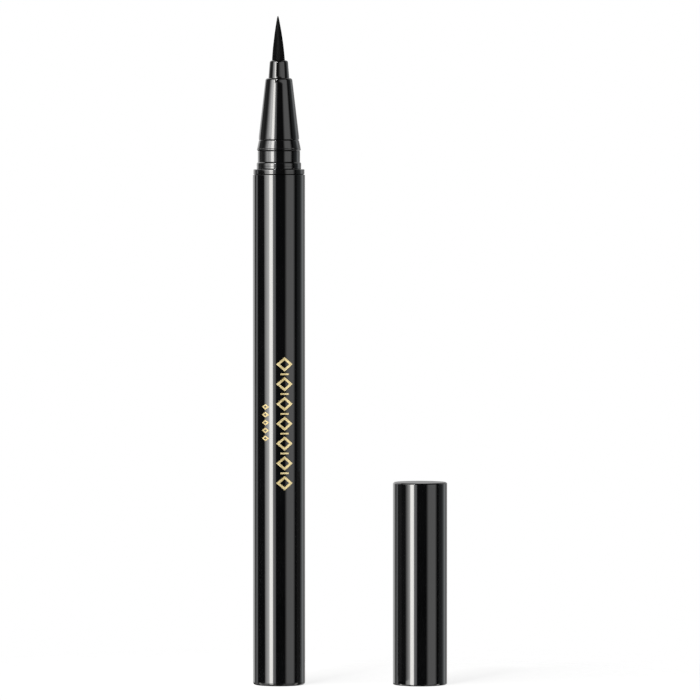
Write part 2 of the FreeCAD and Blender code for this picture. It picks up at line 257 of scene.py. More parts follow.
def twoTone(tree, field, tones, target):
    ramp = tree.nodes.new("ShaderNodeValToRGB")
    for element, stop, tone in zip(ramp.color_ramp.elements, shading["toneStops"], tones):
        element.position = stop
        element.color = (*tone, 1)
    tree.links.new(field, ramp.inputs["Fac"])
    tree.links.new(ramp.outputs["Color"], target)


def raiseRelief(tree, field, finish, target):
    bump = tree.nodes.new("ShaderNodeBump")
    bump.inputs["Strength"].default_value = finish["relief"]
    bump.inputs["Distance"].default_value = finish["depth"]
    tree.links.new(field, bump.inputs["Height"])
    tree.links.new(bump.outputs["Normal"], target)


def surfaceMaterial(name, finish):
    material, tree, shader = startMaterial(name)
    vector = objectCoords(tree, finish.get("stretch", (1, 1, 1)))
    cloud = noiseField(tree, vector, finish["cloud"], finish.get("detail", shading["cloudDetail"]))
    grain = cloud
    if "grain" in finish:
        grain = noiseField(tree, vector, finish["grain"], shading["grainDetail"])
    twoTone(tree, cloud, (finish["dark"], finish["light"]), shader.inputs["Base Color"])
    rough = rampNode(tree, cloud, *shading["noiseRange"], *finish["rough"], "LINEAR")
    tree.links.new(rough, shader.inputs["Roughness"])
    raiseRelief(tree, grain, finish, shader.inputs["Normal"])
    for socketName, number in finish.get("inputs", {}).items():
        shader.inputs[socketName].default_value = number
    return material


materials = {name: surfaceMaterial(name, finish) for name, finish in finishes.items()}
print("materials made")


# Barrel sleeve and tail cap

barrel = dict(radius=5.0, wall=0.45, footRound=0.05, topRound=0.06, lipRound=0.05)
barrelSpan = span("barrel_shell")
barrelBore = barrel["radius"] - barrel["wall"]
barrelSleeve = turnedPiece("barrelSleeve", [
    (barrelBore, barrelSpan["foot"]),
    (barrel["radius"], barrelSpan["foot"], barrel["footRound"]),
    (barrel["radius"], barrelSpan["top"], barrel["topRound"]),
    (barrelBore, barrelSpan["top"], barrel["lipRound"]),
])
finishPiece(barrelSleeve, materials["blackLacquer"], "pen", "black_lacquer", "barrel_shell")

tail = dict(plugRadius=4.52, plugWall=0.9, plugFloor=0.8, footChamfer=0.3, footRound=0.1,
            seamRound=0.05, plugRound=0.2)
tailSpan = span("tail_cap")
tailFloor = barrelSpan["foot"] + tail["plugFloor"]
tailHollow = tail["plugRadius"] - tail["plugWall"]
tailCap = turnedPiece("tailCap", [
    (0, tailSpan["foot"]),
    (barrel["radius"] - tail["footChamfer"], tailSpan["foot"], tail["footRound"]),
    (barrel["radius"], tailSpan["foot"] + tail["footChamfer"], tail["footRound"]),
    (barrel["radius"], barrelSpan["foot"], tail["seamRound"]),
    (tail["plugRadius"], barrelSpan["foot"]),
    (tail["plugRadius"], tailSpan["top"], tail["plugRound"]),
    (tailHollow, tailSpan["top"], tail["plugRound"]),
    (tailHollow, tailFloor, tail["plugRound"]),
    (0, tailFloor),
])
finishPiece(tailCap, materials["blackGlossPlastic"], "pen", "black_gloss_plastic", "tail_cap")
print("barrel and tail made")


# Front coupling: its collar shows between the barrel and the nose

coupling = dict(
    collarRadius=4.9, topRound=0.16, seamRound=0.07, seamChamfer=0.19, lineWidth=0.06, lineDepth=0.03,
    plugRadius=4.52, shoulder=90.0, landRadius=3.92, landFoot=84.0,
    grooveRadius=3.47, grooveFoot=87.3, grooveTop=88.0,
    sleeveRadius=3.65, sleeveBore=3.05, socketRadius=3.38, socketFloor=93.5,
)
couplingSpan = span("front_coupling")
collarMiddle = (barrelSpan["top"] + couplingSpan["top"]) / 2
frontCoupling = turnedPiece("frontCoupling", [
    (coupling["sleeveBore"], couplingSpan["foot"]),
    (coupling["sleeveRadius"], couplingSpan["foot"], coupling["seamRound"]),
    (coupling["sleeveRadius"], coupling["landFoot"]),
    (coupling["landRadius"], coupling["landFoot"], coupling["seamRound"]),
    (coupling["landRadius"], coupling["grooveFoot"]),
    (coupling["grooveRadius"], coupling["grooveFoot"]),
    (coupling["grooveRadius"], coupling["grooveTop"]),
    (coupling["landRadius"], coupling["grooveTop"]),
    (coupling["landRadius"], coupling["shoulder"]),
    (coupling["plugRadius"], coupling["shoulder"], coupling["seamRound"]),
    (coupling["plugRadius"], barrelSpan["top"]),
    (coupling["collarRadius"] - coupling["seamChamfer"], barrelSpan["top"]),
    (coupling["collarRadius"], barrelSpan["top"] + coupling["seamChamfer"]),
    (coupling["collarRadius"], collarMiddle - coupling["lineWidth"] / 2),
    (coupling["collarRadius"] - coupling["lineDepth"], collarMiddle),
    (coupling["collarRadius"], collarMiddle + coupling["lineWidth"] / 2),
    (coupling["collarRadius"], couplingSpan["top"], coupling["topRound"]),
    (coupling["socketRadius"], couplingSpan["top"]),
    (coupling["socketRadius"], coupling["socketFloor"]),
    (coupling["sleeveBore"], coupling["socketFloor"]),
])
finishPiece(frontCoupling, materials["blackGlossPlastic"], "pen", "black_gloss_plastic", "front_coupling")
print("coupling made")


# Nose cone: ring, undercut neck, ridge with a fine line over it, flare, groove, and the long cone

nose = dict(
    spigotRadius=3.35, cavity=2.5, footRound=0.03,
    ringRadius=4.26, ringHeight=1.145, ringFootRound=0.14, ringTopRound=0.08,
    ringLineWidth=0.06, ringLineDepth=0.03,
    neckRadius=4.05, neckHeight=2.265, footUndercut=0.04, undercut=0.07,
    ridgeRadius=4.22, beadHeight=0.14, beadLineWidth=0.14, beadLineDepth=0.06,
    flareHeight=1.74, landRadius=3.86, grooveWidth=0.28, grooveDepth=0.14, grooveRound=0.05,
    landHeight=0.72, landRound=0.3, topDrop=0.25, coneTopRadius=2.54, shoulderRound=0.42,
    holeRadius=2.03, ledge=110.05,
)
noseSpan = span("nose_cone")
ringTop = couplingSpan["top"] + nose["ringHeight"]
ringMiddle = couplingSpan["top"] + nose["ringHeight"] / 2

# The slopes at both ends of the neck are 45 degrees, so each rises as far as it goes in or out
footNotch = ringTop + nose["ringRadius"] - nose["neckRadius"] + nose["footUndercut"]
neckTop = ringTop + nose["neckHeight"]
neckNotch = neckTop + nose["undercut"]
ridgeEdge = neckNotch + nose["ridgeRadius"] - nose["neckRadius"] + nose["undercut"]
flareTop = ridgeEdge + nose["flareHeight"]
landTop = flareTop + nose["landHeight"]
coneTop = noseSpan["top"] - nose["topDrop"]


def flarePoint(rise, depth=0.0):  # a corner on the flare, or in a line cut into it
    narrowing = nose["landRadius"] - nose["ridgeRadius"]
    radius = nose["ridgeRadius"] + narrowing * rise / nose["flareHeight"]
    return radius - depth, ridgeEdge + rise


noseCone = turnedPiece("noseCone", [
    (nose["cavity"], noseSpan["foot"]),
    (nose["spigotRadius"], noseSpan["foot"], nose["footRound"]),
    (nose["spigotRadius"], couplingSpan["top"]),
    (nose["ringRadius"], couplingSpan["top"], nose["ringFootRound"]),
    (nose["ringRadius"], ringMiddle - nose["ringLineWidth"] / 2),
    (nose["ringRadius"] - nose["ringLineDepth"], ringMiddle),
    (nose["ringRadius"], ringMiddle + nose["ringLineWidth"] / 2),
    (nose["ringRadius"], ringTop, nose["ringTopRound"]),
    (nose["neckRadius"] - nose["footUndercut"], footNotch),
    (nose["neckRadius"], footNotch + nose["footUndercut"]),
    (nose["neckRadius"], neckTop),
    (nose["neckRadius"] - nose["undercut"], neckNotch),
    flarePoint(0),
    flarePoint(nose["beadHeight"]),
    flarePoint(nose["beadHeight"] + nose["beadLineWidth"] / 2, nose["beadLineDepth"]),
    flarePoint(nose["beadHeight"] + nose["beadLineWidth"]),
    (*flarePoint(nose["flareHeight"]), nose["grooveRound"]),
    (nose["landRadius"] - nose["grooveDepth"], flareTop + nose["grooveWidth"] / 2),
    (nose["landRadius"], flareTop + nose["grooveWidth"]),
    (nose["landRadius"], landTop, nose["landRound"]),
    (nose["coneTopRadius"], coneTop, nose["shoulderRound"]),
    (nose["holeRadius"], coneTop),
    (nose["holeRadius"], nose["ledge"]),
    (nose["cavity"], nose["ledge"]),
])
finishPiece(noseCone, materials["blackGlossPlastic"], "pen", "black_gloss_plastic", "nose_cone")
print("nose made")


# Tip ferrule

ferrule = dict(rootRadius=2.0, topRadius=1.73, bore=1.305, edgeRound=0.4, topDrop=0.1,
               flangeRadius=2.47, socket=1.63, socketHeight=1.2)
ferruleSpan = span("tip_ferrule")
ferruleTop = ferruleSpan["top"] - ferrule["topDrop"]
tipFerrule = turnedPiece("tipFerrule", [
    (ferrule["socket"], ferruleSpan["foot"]),
    (ferrule["flangeRadius"], ferruleSpan["foot"]),
    (ferrule["flangeRadius"], nose["ledge"]),
    (ferrule["rootRadius"], nose["ledge"]),
    (ferrule["rootRadius"], coneTop),
    (ferrule["topRadius"], ferruleTop, ferrule["edgeRound"]),
    (ferrule["bore"], ferruleTop),
    (ferrule["bore"], ferruleSpan["foot"] + ferrule["socketHeight"]),
    (ferrule["socket"], ferruleSpan["foot"] + ferrule["socketHeight"]),
])
finishPiece(tipFerrule, materials["blackGlossPlastic"], "pen", "black_gloss_plastic", "tip_ferrule")
print("ferrule made")


# Brush: a fused core under a coat of separate tapered bristles

brush = dict(
    radius=1.225, bulge=0.15, pointRadius=0.13, topDrop=0.1, rings=10,
    rootRadius=1.6, rootHeight=1.2, coreBore=0.8, coreDepth=4.5, coreInset=0.05,
    bristleCount=150, bristleRadius=0.052, bristleTip=0.016, bristleSides=5, buried=0.4,
    shortest=0.8, lengthStep=0.618,  # golden share, which mixes long and short
    leanDegrees=-0.9, sideStep=-0.075,  # the wet point sits a little to one side
)
brushSpan = span("brush_tip")
brushLength = brushSpan["top"] - brush["topDrop"] - ferruleSpan["top"]
goldenAngle = math.pi * (3 - math.sqrt(5))


def brushRadius(share):  # share runs from the ferrule to the point, and the bulge is full half way
    straight = brush["radius"] + (brush["pointRadius"] - brush["radius"]) * share
    return straight + brush["bulge"] * 4 * share * (1 - share)


def brushCore(bm):
    corners = [
        (0, brushSpan["foot"] + brush["coreDepth"]),
        (brush["coreBore"], brushSpan["foot"] + brush["coreDepth"]),
        (brush["coreBore"], brushSpan["foot"]),
        (brush["rootRadius"], brushSpan["foot"]),
        (brush["rootRadius"], brushSpan["foot"] + brush["rootHeight"]),
        (brush["radius"] - brush["coreInset"], brushSpan["foot"] + brush["rootHeight"]),
    ]
    for ring in range(brush["rings"] + 1):
        share = ring / brush["rings"]
        height = ferruleSpan["top"] + share * (brushLength - brush["pointRadius"])
        corners.append((brushRadius(share) - brush["coreInset"], height))
    corners.append((0, ferruleSpan["top"] + brushLength - brush["coreInset"]))
    turnSection(bm, corners)


def brushBristle(bm, index):
    lengthShare = 1 - (1 - brush["shortest"]) * (index * brush["lengthStep"] % 1)
    length = lengthShare * (brushLength - brush["bristleTip"])
    lastRadius = brush["bristleRadius"]
    lastPlace = Vector((brushRadius(0) - lastRadius, 0, ferruleSpan["top"] - brush["buried"]))
    circle = bmesh.ops.create_circle(bm, segments=brush["bristleSides"], radius=lastRadius)
    grown = circle["verts"]
    bmesh.ops.translate(bm, verts=grown, vec=lastPlace)
    loop = list({edge for vert in grown for edge in vert.link_edges})
    for ring in range(brush["rings"] + 1):
        share = ring / brush["rings"]
        radius = brush["bristleRadius"] + (brush["bristleTip"] - brush["bristleRadius"]) * share
        out = max(brushRadius(share) - radius, 0.0)
        place = Vector((out, 0, ferruleSpan["top"] + share * length))
        new = bmesh.ops.extrude_edge_only(bm, edges=loop)["geom"]
        ringVerts = [item for item in new if isinstance(item, bmesh.types.BMVert)]
        loop = [item for item in new if isinstance(item, bmesh.types.BMEdge) and item.is_boundary]
        bmesh.ops.translate(bm, verts=ringVerts, vec=place - lastPlace)
        bmesh.ops.scale(bm, verts=ringVerts, vec=[radius / lastRadius] * 3,
                        space=Matrix.Translation(-place))
        grown += ringVerts
        lastPlace, lastRadius = place, radius
    bmesh.ops.contextual_create(bm, geom=loop)  # closes the tip
    turn = Matrix.Rotation(index * goldenAngle, 3, "Z")
    bmesh.ops.rotate(bm, verts=grown, cent=(0, 0, 0), matrix=turn)


def brushPiece():
    bm = bmesh.new()
    brushCore(bm)
    for index in range(brush["bristleCount"]):
        brushBristle(bm, index)
    bmesh.ops.recalc_face_normals(bm, faces=bm.faces)
    shown = [vert for vert in bm.verts if vert.co.z > ferruleSpan["top"]]
    lean = Matrix.Rotation(math.radians(brush["leanDegrees"]), 3, "Y")
    bmesh.ops.rotate(bm, verts=shown, cent=(0, 0, ferruleSpan["top"]), matrix=lean)
    bmesh.ops.translate(bm, verts=shown, vec=(brush["sideStep"], 0, 0))
    return addObject("brushTip", bm)


brushTip = brushPiece()
finishPiece(brushTip, materials["blackBristle"], "pen", "black_bristle", "brush_tip")
print("brush made,", brush["bristleCount"], "bristles")


# Foil ornament on the barrel: a column of open lozenges with short bars between them,
# and a row of small lozenges beside it

ornament = dict(
    low=37.5, high=62.9, turn=13.1, lozenges=7, halfSize=(1.62, 1.36), border=0.44,
    barHalfSize=(0.8, 0.16),
    smallLow=47.4, smallHigh=53.4, smallTurn=-30.5, smallLozenges=5, smallHalfSize=(0.8, 0.54),
    smallBorder=0.25,
    lift=0.008, thickness=0.02, cuts=6,
)


def standUp(bm, verts, halfSize, height):
    bmesh.ops.scale(bm, verts=verts, vec=(halfSize[0], halfSize[1], 1))
    bmesh.ops.rotate(bm, verts=verts, cent=(0, 0, 0), matrix=Matrix.Rotation(math.pi / 2, 3, "X"))
    bmesh.ops.translate(bm, verts=verts, vec=(0, 0, height))


def lozenge(bm, halfSize, height, border):
    verts = bmesh.ops.create_circle(bm, cap_ends=True, segments=4, radius=1.0)["verts"]
    standUp(bm, verts, halfSize, height)
    middle = list({face for vert in verts for face in vert.link_faces})
    bmesh.ops.inset_region(bm, faces=middle, thickness=border, use_boundary=True,
                           use_even_offset=True)
    bmesh.ops.delete(bm, geom=middle, context="FACES")


def bar(bm, halfSize, height):
    verts = bmesh.ops.create_grid(bm, x_segments=1, y_segments=1, size=1.0)["verts"]
    standUp(bm, verts, halfSize, height)


def foilColumn(bm):
    first = ornament["low"] + ornament["halfSize"][1]
    last = ornament["high"] - ornament["halfSize"][1]
    step = (last - first) / (ornament["lozenges"] - 1)
    for index in range(ornament["lozenges"]):
        lozenge(bm, ornament["halfSize"], first + index * step, ornament["border"])
        if index:
            bar(bm, ornament["barHalfSize"], first + (index - 0.5) * step)


def foilRow(bm):
    step = (ornament["smallHigh"] - ornament["smallLow"]) / (ornament["smallLozenges"] - 1)
    for index in range(ornament["smallLozenges"]):
        height = ornament["smallLow"] + index * step
        lozenge(bm, ornament["smallHalfSize"], height, ornament["smallBorder"])


def facesAxis(face):
    return face.normal.dot(face.calc_center_median() * Vector((1, 1, 0))) < 0


def foilPiece(name, draw, turnDegrees, material):
    bm = bmesh.new()
    draw(bm)
    bmesh.ops.subdivide_edges(bm, edges=bm.edges, cuts=ornament["cuts"], use_grid_fill=True)
    radius = barrel["radius"] + ornament["lift"]
    for vert in bm.verts:  # wraps the flat drawing on the barrel
        angle = math.radians(turnDegrees) + vert.co.x / radius
        vert.co = (radius * math.sin(angle), -radius * math.cos(angle), vert.co.z)
    bm.normal_update()
    bmesh.ops.reverse_faces(bm, faces=[face for face in bm.faces if facesAxis(face)])
    bmesh.ops.solidify(bm, geom=bm.faces[:], thickness=ornament["thickness"])
    bmesh.ops.recalc_face_normals(bm, faces=bm.faces)
    piece = addObject(name, bm)
    piece.data.materials.append(material)
    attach(piece, "pen")


foilPiece("foilColumn", foilColumn, ornament["turn"], materials["brightGoldFoil"])
# the small row takes the shaded copy of the foil, whose darker tones are painted shade
foilPiece("foilRow", foilRow, ornament["smallTurn"], materials["shadedGoldFoil"])
print("ornament made")


# Cap: sleeve, liner with its snap bead, and the sprung inner cap

cap = dict(radius=5.2, wall=0.4, topWall=0.5, topChamfer=0.22, edgeRound=0.03, mouthRound=0.3,
           lipRound=0.05, innerRound=0.2)
capSpan = span("cap_shell")
capBore = cap["radius"] - cap["wall"]
capCeiling = capSpan["top"] - cap["topWall"]
capSleeve = turnedPiece("capSleeve", [
    (0, capSpan["top"]),
    (cap["radius"] - cap["topChamfer"], capSpan["top"], cap["edgeRound"]),
    (cap["radius"], capSpan["top"] - cap["topChamfer"], cap["edgeRound"]),
    (cap["radius"], capSpan["foot"], cap["mouthRound"]),
    (capBore, capSpan["foot"], cap["lipRound"]),
    (capBore, capCeiling, cap["innerRound"]),
    (0, capCeiling),
], capSpan["axisX"])
finishPiece(capSleeve, materials["blackLacquer"], "cap", "black_lacquer", "cap_shell")

liner = dict(radius=4.77, mouthBore=4.36, mouthTop=6.8, beadBore=4.14, beadFoot=2.3, beadTop=3.3,
             beadSlope=0.3, guide=4.2, stop=28.2, stopBore=4.45, edgeRound=0.1)
linerSpan = span("cap_liner")
capLiner = turnedPiece("capLiner", [
    (liner["mouthBore"], linerSpan["foot"], liner["edgeRound"]),
    (liner["radius"], linerSpan["foot"], liner["edgeRound"]),
    (liner["radius"], linerSpan["top"], liner["edgeRound"]),
    (liner["stopBore"], linerSpan["top"], liner["edgeRound"]),
    (liner["stopBore"], liner["stop"]),
    (liner["guide"], liner["stop"]),
    (liner["guide"], liner["mouthTop"], liner["edgeRound"]),
    (liner["mouthBore"], liner["mouthTop"]),
    (liner["mouthBore"], liner["beadTop"], liner["edgeRound"]),
    (liner["beadBore"], liner["beadTop"] - liner["beadSlope"], liner["edgeRound"]),
    (liner["beadBore"], liner["beadFoot"] + liner["beadSlope"], liner["edgeRound"]),
    (liner["mouthBore"], liner["beadFoot"], liner["edgeRound"]),
], capSpan["axisX"])
finishPiece(capLiner, materials["satinBlackPlastic"], "cap", "black_satin_plastic", "cap_liner")

inner = dict(radius=4.15, bore=3.55, ceiling=28.4, crownTop=29.2, stopRadius=4.4, stopFoot=28.2,
             bossRadius=2.8, sealSeat=3.85, sealTop=8.4, edgeRound=0.08, cornerRound=0.5)
innerSpan = span("inner_cap")
innerCap = turnedPiece("innerCap", [
    (0, innerSpan["top"]),
    (inner["bossRadius"], innerSpan["top"], inner["cornerRound"]),
    (inner["bossRadius"], inner["crownTop"]),
    (inner["stopRadius"], inner["crownTop"], inner["edgeRound"]),
    (inner["stopRadius"], inner["stopFoot"], inner["edgeRound"]),
    (inner["radius"], inner["stopFoot"]),
    (inner["radius"], innerSpan["foot"], inner["edgeRound"]),
    (inner["sealSeat"], innerSpan["foot"], inner["edgeRound"]),
    (inner["sealSeat"], inner["sealTop"]),
    (inner["bore"], inner["sealTop"]),
    (inner["bore"], inner["ceiling"], inner["cornerRound"]),
    (0, inner["ceiling"]),
], capSpan["axisX"])
finishPiece(innerCap, materials["satinBlackPlastic"], "inner_cap_unit", "black_satin_plastic", "inner_cap")
print("cap made")


# Pieces that stay as the CAD has them, inside the pen and the cap

hiddenNodes = dict(
    milkyPlastic=["ink_tank", "tank_plug", "collector", "brush_retainer"],
    softRubber=["tank_seal", "inner_cap_seal"],
    brightSteel=["mixing_ball_left", "mixing_ball_right", "relay_tube"],
    inkFibre=["feed_core"],
)
for finishName, nodeNames in hiddenNodes.items():
    for nodeName in nodeNames:
        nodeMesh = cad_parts[nodeName].data
        nodeMesh.materials.clear()
        nodeMesh.materials.append(materials[finishName])
print("inner pieces dressed")


# Spring over the inner cap. In the pen its foot goes up as the inner cap is pressed in; here it is drawn
# at rest and moves with the cap

spring = dict(radius=3.2, wireRadius=0.2, wireSides=8, turns=6, stepsPerTurn=24, press=2.0)
springSpan = span("cap_spring")


def springPiece():
    bm = bmesh.new()
    height = springSpan["top"] - springSpan["foot"]
    steps = spring["turns"] * spring["stepsPerTurn"]
    climb = (height - 2 * spring["wireRadius"]) / steps
    start = (spring["radius"], 0, springSpan["foot"] + spring["wireRadius"])
    circle = bmesh.ops.create_circle(bm, segments=spring["wireSides"], radius=spring["wireRadius"])
    wire = circle["verts"]
    bmesh.ops.rotate(bm, verts=wire, cent=(0, 0, 0), matrix=Matrix.Rotation(math.pi / 2, 3, "X"))
    bmesh.ops.translate(bm, verts=wire, vec=start)
    bmesh.ops.spin(bm, geom=bm.verts[:] + bm.edges[:], cent=(0, 0, 0), axis=(0, 0, 1),
                   angle=2 * math.pi * spring["turns"], dvec=(0, 0, climb), steps=steps)
    bmesh.ops.holes_fill(bm, edges=[edge for edge in bm.edges if edge.is_boundary])
    bmesh.ops.recalc_face_normals(bm, faces=bm.faces)
    piece = addObject("capSpring", bm, capSpan["axisX"])
    finishPiece(piece, materials["brightSteel"], "cap", "bright_steel", "cap_spring")
    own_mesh(piece)


springPiece()
print("spring made")


# Studio: light panels round the object and a pale backdrop behind it.
# Azimuth is in degrees from the camera's side, negative to the left, and rise is elevation.

tints = dict(
    warm=(1.0, 0.985, 0.955),
    mild=(1.0, 0.99, 0.97),
    cream=(1.0, 1.0, 0.99),
    plain=(1.0, 1.0, 1.0),
    cool=(0.97, 0.98, 1.0),
    paleBlue=(0.93, 0.98, 1.0),
    blue=(0.9, 0.97, 1.0),
)
studio = dict(
    wallPanels=[
        dict(azimuth=(-42, -26.5), feather=4, level=(10.2, 10.2), tint="warm"),  # key strip
        dict(azimuth=(-67, -42), feather=5, level=(1.3, 5.4), tint="cream", lean=0.8),  # soft side
        dict(azimuth=(-26.5, -13.5), feather=4, level=(1.7, 0.9), tint="cool"),  # narrow fill
        dict(azimuth=(32, 71), feather=15, level=(0.96, 0.96), tint="plain"),  # broad fill
        dict(azimuth=(-121, -107), feather=3, level=(0.64, 0.54), tint="cool"),  # left edge card
        dict(azimuth=(86, 112), feather=10, level=(0.06, 0.16), tint="blue"),  # right shade
        dict(azimuth=(112, 134), feather=7, level=(0.26, 0.9), tint="paleBlue"),  # right edge card
    ],
    wallRise=dict(start=-6, startFeather=1.6, end=40, endFeather=16),
    lowPanels=[  # set low, for the sides and the back
        dict(azimuth=(-41, -27), feather=4, level=(4.6, 4.6), tint="warm"),
        dict(azimuth=(79, 93), feather=4, level=(4.0, 4.0), tint="warm"),
        dict(azimuth=(-100, -86), feather=4, level=(4.0, 4.0), tint="warm"),
        dict(azimuth=(20, 60), feather=15, level=(0.8, 0.8), tint="plain"),
        dict(azimuth=(130, 170), feather=15, level=(0.5, 0.5), tint="plain"),
        dict(azimuth=(-78, -52), feather=10, level=(0.8, 0.8), tint="plain"),
        dict(azimuth=(-135, -110), feather=10, level=(0.6, 0.6), tint="plain"),
    ],
    lowRise=dict(start=-36, startFeather=8, end=-7, endFeather=1.6),
    floorPanels=[  # light from the floor, for views from above
        dict(azimuth=(-48, -20), feather=12, level=(1.3, 1.3), tint="mild"),
        dict(azimuth=(72, 100), feather=12, level=(1.3, 1.3), tint="mild"),
        dict(azimuth=(-107, -79), feather=12, level=(1.3, 1.3), tint="mild"),
        dict(azimuth=(-180, 180), feather=0.1, level=(0.16, 0.16), tint="plain"),
    ],
    floorRise=dict(start=-82, startFeather=10, end=-42, endFeather=14),
    backdrop=[
        dict(azimuth=(-200, -131), feather=4, level=0.82),
        dict(azimuth=(136, 200), feather=6, level=0.33),
    ],
    backdropRise=dict(start=-6, startFeather=1.6, end=60, endFeather=20),
    darkRoom=0.008,
    lamp=dict(azimuth=-21, elevation=42, distance=0.7, size=0.06, watts=1.4),
)


def windowNode(tree, value, start, startFeather, end, endFeather):  # 1 from start to end, 0 outside
    rise = rampNode(tree, value, start - startFeather / 2, start + startFeather / 2, 0, 1)
    fall = rampNode(tree, value, end - endFeather / 2, end + endFeather / 2, 1, 0)
    return mathNode(tree, "MULTIPLY", rise, fall)


def tintNode(tree, level, tint):
    node = tree.nodes.new("ShaderNodeVectorMath")
    node.operation = "SCALE"
    node.inputs[0].default_value = tint
    feed(tree, node.inputs["Scale"], level)
    return node.outputs["Vector"]


def addNode(tree, first, second):
    node = tree.nodes.new("ShaderNodeVectorMath")
    node.operation = "ADD"
    tree.links.new(first, node.inputs[0])
    tree.links.new(second, node.inputs[1])
    return node.outputs["Vector"]


def panelLight(tree, panel, azimuth, elevation, rise):
    start, end = panel["azimuth"]
    half = panel["feather"] / 2
    lean = mathNode(tree, "MULTIPLY", elevation, panel.get("lean", 0.0))
    leaning = mathNode(tree, "ADD", azimuth, lean)
    opened = rampNode(tree, leaning, start - half, start + half, 0, 1)
    closed = rampNode(tree, azimuth, end - half, end + half, 1, 0)
    level = rampNode(tree, leaning, start, end, *panel["level"], "LINEAR")
    shown = mathNode(tree, "MULTIPLY", mathNode(tree, "MULTIPLY", opened, closed), level)
    return tintNode(tree, mathNode(tree, "MULTIPLY", shown, rise), tints[panel["tint"]])


def backdropShare(tree, azimuth, elevation):
    behind = 0.0
    for side in studio["backdrop"]:
        start, end = side["azimuth"]
        mask = windowNode(tree, azimuth, start, side["feather"], end, side["feather"])
        behind = mathNode(tree, "ADD", mathNode(tree, "MULTIPLY", mask, side["level"]), behind)
    return mathNode(tree, "MULTIPLY", behind, windowNode(tree, elevation, **studio["backdropRise"]))


def studioWorld():
    world = bpy.data.worlds.new("studio")
    world.use_nodes = True
    tree = world.node_tree
    tree.nodes.clear()
    coords = tree.nodes.new("ShaderNodeTexCoord")
    parts = tree.nodes.new("ShaderNodeSeparateXYZ")
    tree.links.new(coords.outputs["Generated"], parts.inputs["Vector"])
    towards = mathNode(tree, "MULTIPLY", parts.outputs["Y"], -1.0)
    azimuth = mathNode(tree, "DEGREES", mathNode(tree, "ARCTAN2", parts.outputs["X"], towards))
    elevation = mathNode(tree, "DEGREES", mathNode(tree, "ARCSINE", parts.outputs["Z"]))
    light = tintNode(tree, studio["darkRoom"], tints["plain"])
    for group in ("wall", "low", "floor"):
        upright = windowNode(tree, elevation, **studio[group + "Rise"])
        for panel in studio[group + "Panels"]:
            light = addNode(tree, light, panelLight(tree, panel, azimuth, elevation, upright))
    room = tree.nodes.new("ShaderNodeBackground")
    tree.links.new(light, room.inputs["Color"])
    white = tree.nodes.new("ShaderNodeBackground")
    white.inputs["Color"].default_value = (1, 1, 1, 1)

    # The camera sees plain white all round, and gloss sees the backdrop where it stands
    path = tree.nodes.new("ShaderNodeLightPath")
    behind = backdropShare(tree, azimuth, elevation)
    behind = mathNode(tree, "MULTIPLY", behind, glossyShare(tree, path))
    share = mathNode(tree, "MAXIMUM", path.outputs["Is Camera Ray"], behind)
    output = tree.nodes.new("ShaderNodeOutputWorld")
    mixed = mixNode(tree, share, room.outputs["Background"], white.outputs["Background"])
    tree.links.new(mixed, output.inputs["Surface"])
    bpy.context.scene.world = world


def studioLamp(settings, target):
    lamp = bpy.data.lights.new("studioLamp", "AREA")
    lamp.size = settings["size"]
    lamp.energy = settings["watts"]
    turn = math.radians(settings["azimuth"])
    rise = math.radians(settings["elevation"])
    direction = Vector((
        math.sin(turn) * math.cos(rise),
        -math.cos(turn) * math.cos(rise),
        math.sin(rise),
    ))
    holder = bpy.data.objects.new("studioLamp", lamp)
    holder.location = target + direction * settings["distance"]
    holder.rotation_euler = direction.to_track_quat("Z", "Y").to_euler()
    bpy.context.scene.collection.objects.link(holder)


studioWorld()
studioLamp(studio["lamp"], Vector((0, 0, noseSpan["foot"] * mm)))
print("studio lit")


# Small upright cards close to the object, which only its gloss sees. Each runs from start to end
# in plan, and a stop is (share of the way, level of light, cover).

cards = dict(
    midCard=dict(  # pen and cap don't mirror each other
        start=(13.5, -4.5), end=(13.5, -0.5), low=0, high=40.5,
        stops=[(0, 0.07, 1), (1, 0.07, 1)]),
    capFlag=dict(  # seen by the cap alone
        start=(13.5, -19.0), end=(13.5, -4.5), low=0, high=40.5, faces=(1, 0, 0),
        stops=[(0, 0.02, 0), (0.28, 0.02, 0.3), (0.55, 0.02, 0.6), (0.76, 0.02, 1), (1, 0.02, 1)]),
    noseSide=dict(  # left flank of the nose
        start=(-24.3, -16.4), end=(-24.3, 12.0), low=98.75, high=135.0,
        stops=[(0, 3.4, 1), (0.13, 2.6, 1), (0.21, 1.7, 1), (0.32, 0.5, 1), (0.42, 0.1, 1),
               (0.53, 0.065, 1), (1, 0.16, 1)]),
    tipFill=dict(  # front of the ferrule
        start=(-5.6, -10.0), end=(6.9, -10.0), low=117.2, high=122.5,
        stops=[(0, 0.012, 1), (0.396, 0.02, 1), (0.448, 0.13, 1), (0.606, 0.59, 1),
               (0.782, 0.96, 1), (1, 0.96, 1)]),
)
brightest = 4.0  # level that a card's light is scaled by, since a ramp's colours end at 1


def stopRamp(tree, share, stops, column, scale):
    ramp = tree.nodes.new("ShaderNodeValToRGB")
    elements = ramp.color_ramp.elements
    while len(elements) < len(stops):
        elements.new(0.5)  # moved to its stop below
    for element, stop in zip(elements, stops):
        element.position = stop[0]
        element.color = (*[stop[column] / scale] * 3, 1)
    tree.links.new(share, ramp.inputs["Fac"])
    return mathNode(tree, "MULTIPLY", ramp.outputs["Color"], scale)


